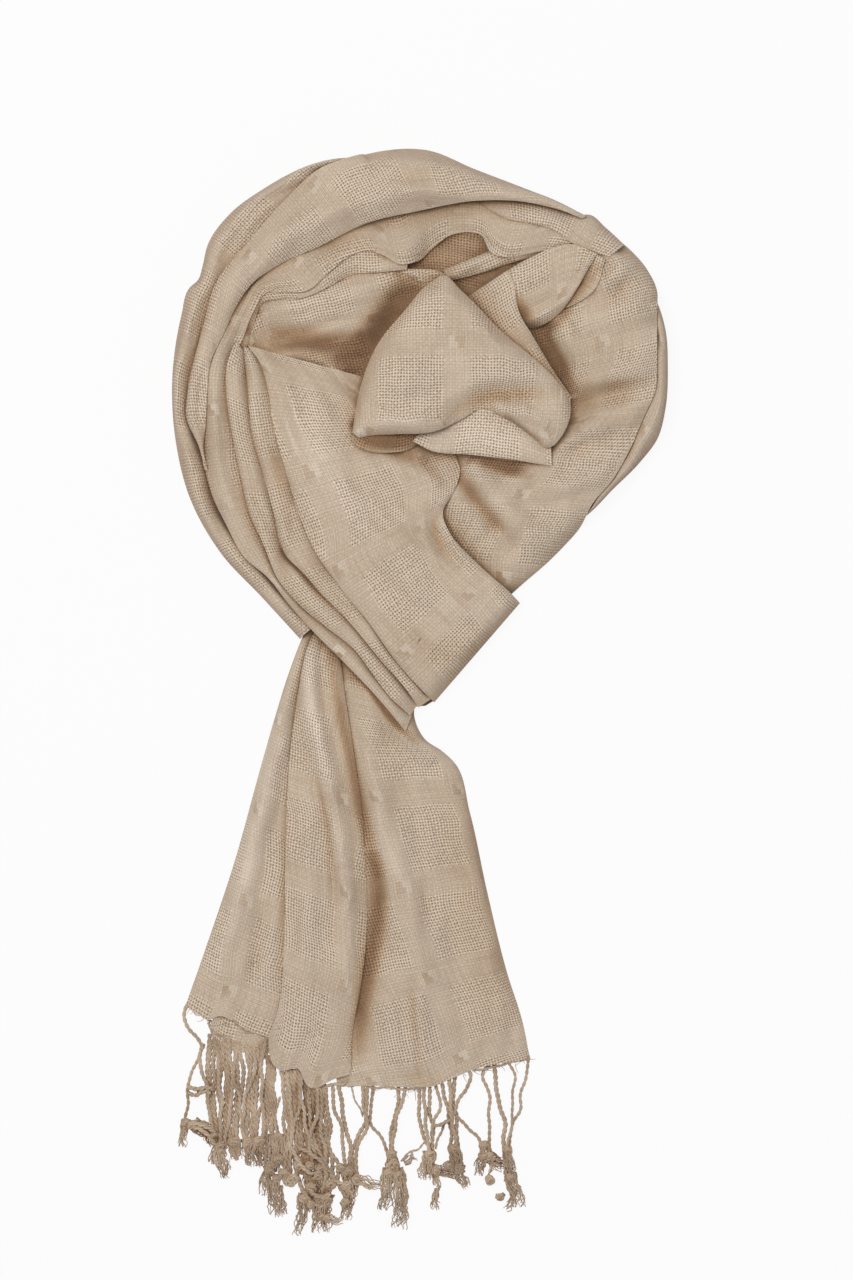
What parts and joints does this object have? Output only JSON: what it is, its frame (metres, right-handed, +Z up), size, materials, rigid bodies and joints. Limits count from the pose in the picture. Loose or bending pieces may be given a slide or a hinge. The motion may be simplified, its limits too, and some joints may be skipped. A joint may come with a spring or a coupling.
{
  "type": "stole",
  "caption": "Long fringed stole of open-weave checked cloth, laid flat in a loose ring with one end heaped in the middle and the other lying pleated below.",
  "frame": {"origin": "on the surface it lies on, under the middle of the whole", "axes": "+X to the right, +Y from the fringe to the top of the ring, +Z up off the surface"},
  "size_m": [0.3463, 0.7593, 0.0467],
  "materials": {
    "cloth": "matt open basket weave in blocks between plain stripes, undyed linen look",
    "fringe": "matt twisted yarn, knotted, with frayed ends"
  },
  "bodies": {
    "root": {"back_panel": "cloth", "fifth_fold": "cloth", "flank": "cloth", "fourth_fold": "cloth", "fringe_left": "fringe", "fringe_middle": "fringe", "fringe_right": "fringe", "front_panel": "cloth", "hem_flap": "cloth", "hidden_layers": "cloth", "inner_strip": "cloth", "inner_wall": "cloth", "lobe": "cloth", "lobe_lining": "cloth", "outer_fold": "cloth", "peak": "cloth", "peak_curl": "cloth", "right_band": "cloth", "right_rim": "cloth", "swag": "cloth", "swag_back": "cloth", "tail_back_layer": "cloth", "tail_left_panel": "cloth", "tail_middle_panel": "cloth", "tail_right_panel": "cloth", "top_band": "cloth", "top_right_fold": "cloth"}
  },
  "joints": []
}
